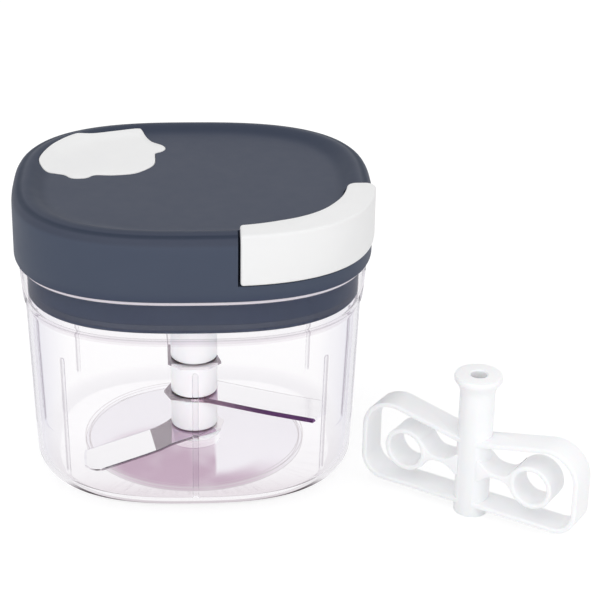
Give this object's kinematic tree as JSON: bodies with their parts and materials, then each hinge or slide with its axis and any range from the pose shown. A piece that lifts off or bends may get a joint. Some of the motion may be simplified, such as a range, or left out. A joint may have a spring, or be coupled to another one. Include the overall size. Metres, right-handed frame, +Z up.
{
  "type": "pull-cord food chopper",
  "caption": "Hand food chopper with a clear oval bowl, stacked flat blades on a white hub, a dark lid with a pull-cord handle, and a loose whisk insert.",
  "frame": {"origin": "on the blade hub's axis, at the underside of the bowl", "axes": "+Z up, +X along the lid's longer side towards the whisk, -Y towards the user"},
  "size_m": [0.187, 0.134, 0.101],
  "materials": {
    "clear": "clear, polished, faint violet tint",
    "navy": "satin moulded, dark slate blue",
    "pale": "smooth matt, near white",
    "white": "semi-gloss moulded white",
    "blade": "bright fine-brushed stainless steel",
    "steel": "turned stainless steel",
    "spring": "blued spring strip",
    "seal": "soft silicone",
    "cord": "braided nylon"
  },
  "bodies": {
    "bowl": {"bowl": "clear", "bowl_pivot_pin": "steel"},
    "lid": {"lid_cover": "navy", "lid_inlay": "pale", "lid_base": "navy", "seal_ring": "seal", "shaft_bush": "white", "reel_axle": "steel", "recoil_spring": "spring", "cord_eyelet": "steel", "cord_lead": "cord", "lid_screw_1": "steel", "lid_screw_2": "steel", "lid_screw_3": "steel", "lid_screw_4": "steel"},
    "reel": {"cord_reel": "white", "cord_winding": "cord", "spring_cap": "white", "drive_shaft": "white"},
    "handle": {"pull_handle": "pale", "pull_cord": "cord", "cord_knot": "cord"},
    "blades": {"hub_base": "white", "blade_lower": "blade", "hub_spacer_lower": "white", "blade_middle": "blade", "hub_spacer_middle": "white", "blade_upper": "blade", "hub_head": "white"},
    "whisk": {"whisk": "white"}
  },
  "joints": [
    {"name": "lid_lift", "type": "slide", "parent": "bowl", "child": "lid", "axis": [0, 0, 1], "range_m": [0, 0.08]},
    {"name": "handle_pull", "type": "slide", "parent": "lid", "child": "handle", "axis": [0.7547, -0.6561, 0], "range_m": [0, 0.28], "stiffness_N_per_m": 20, "springref_m": -0.15},
    {"name": "reel_spin", "type": "hinge", "parent": "lid", "child": "reel", "pos_m": [0, 0, 0.082], "axis": [0, 0, -1], "range_deg": [0, 1040]},
    {"name": "blade_spin", "type": "hinge", "parent": "bowl", "child": "blades", "pos_m": [0, 0, 0.0032], "axis": [0, 0, -1], "range_deg": [0, 1040]},
    {"name": "whisk_lift", "type": "slide", "parent": "bowl", "child": "whisk", "axis": [0, 0, 1], "range_m": [0, 0.03]}
  ],
  "couplings": [
    {"joint": "reel_spin", "follows": "handle_pull", "rad_per_m": 64},
    {"joint": "blade_spin", "follows": "handle_pull", "rad_per_m": 64}
  ]
}
